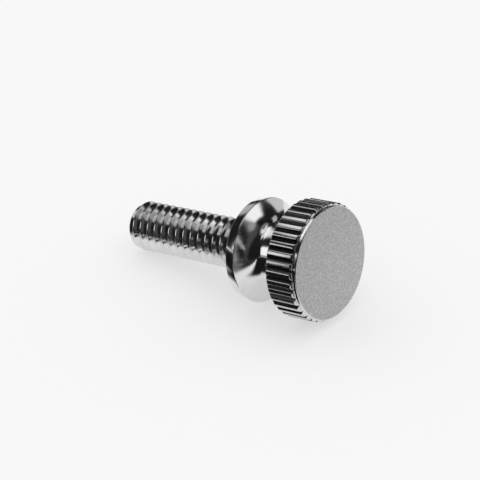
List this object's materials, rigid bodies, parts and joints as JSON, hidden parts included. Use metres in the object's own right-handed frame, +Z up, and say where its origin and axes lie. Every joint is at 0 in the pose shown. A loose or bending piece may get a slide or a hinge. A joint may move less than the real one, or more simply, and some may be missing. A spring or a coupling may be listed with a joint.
{
  "type": "thumb screw",
  "caption": "Metal thumb screw: a straight-knurled flat head on a short neck, a flared collar that bears on the work, and a fully threaded shank.",
  "frame": {"origin": "centre of the box's lower face, on the floor that the screw lies on; the screw lies at rest on its shank's tip and its collar's rim, with its head clear of the floor", "axes": "+Z up; the screw's axis lies in the XZ plane, with the head towards +X and raised by 9.53 degrees, and the shank's tip towards -X"},
  "size_m": [0.0208, 0.0096, 0.0099],
  "materials": {
    "plated_metal": "bright plated, with a satin end face"
  },
  "bodies": {
    "root": {"thumb_screw": "plated_metal"}
  },
  "joints": []
}
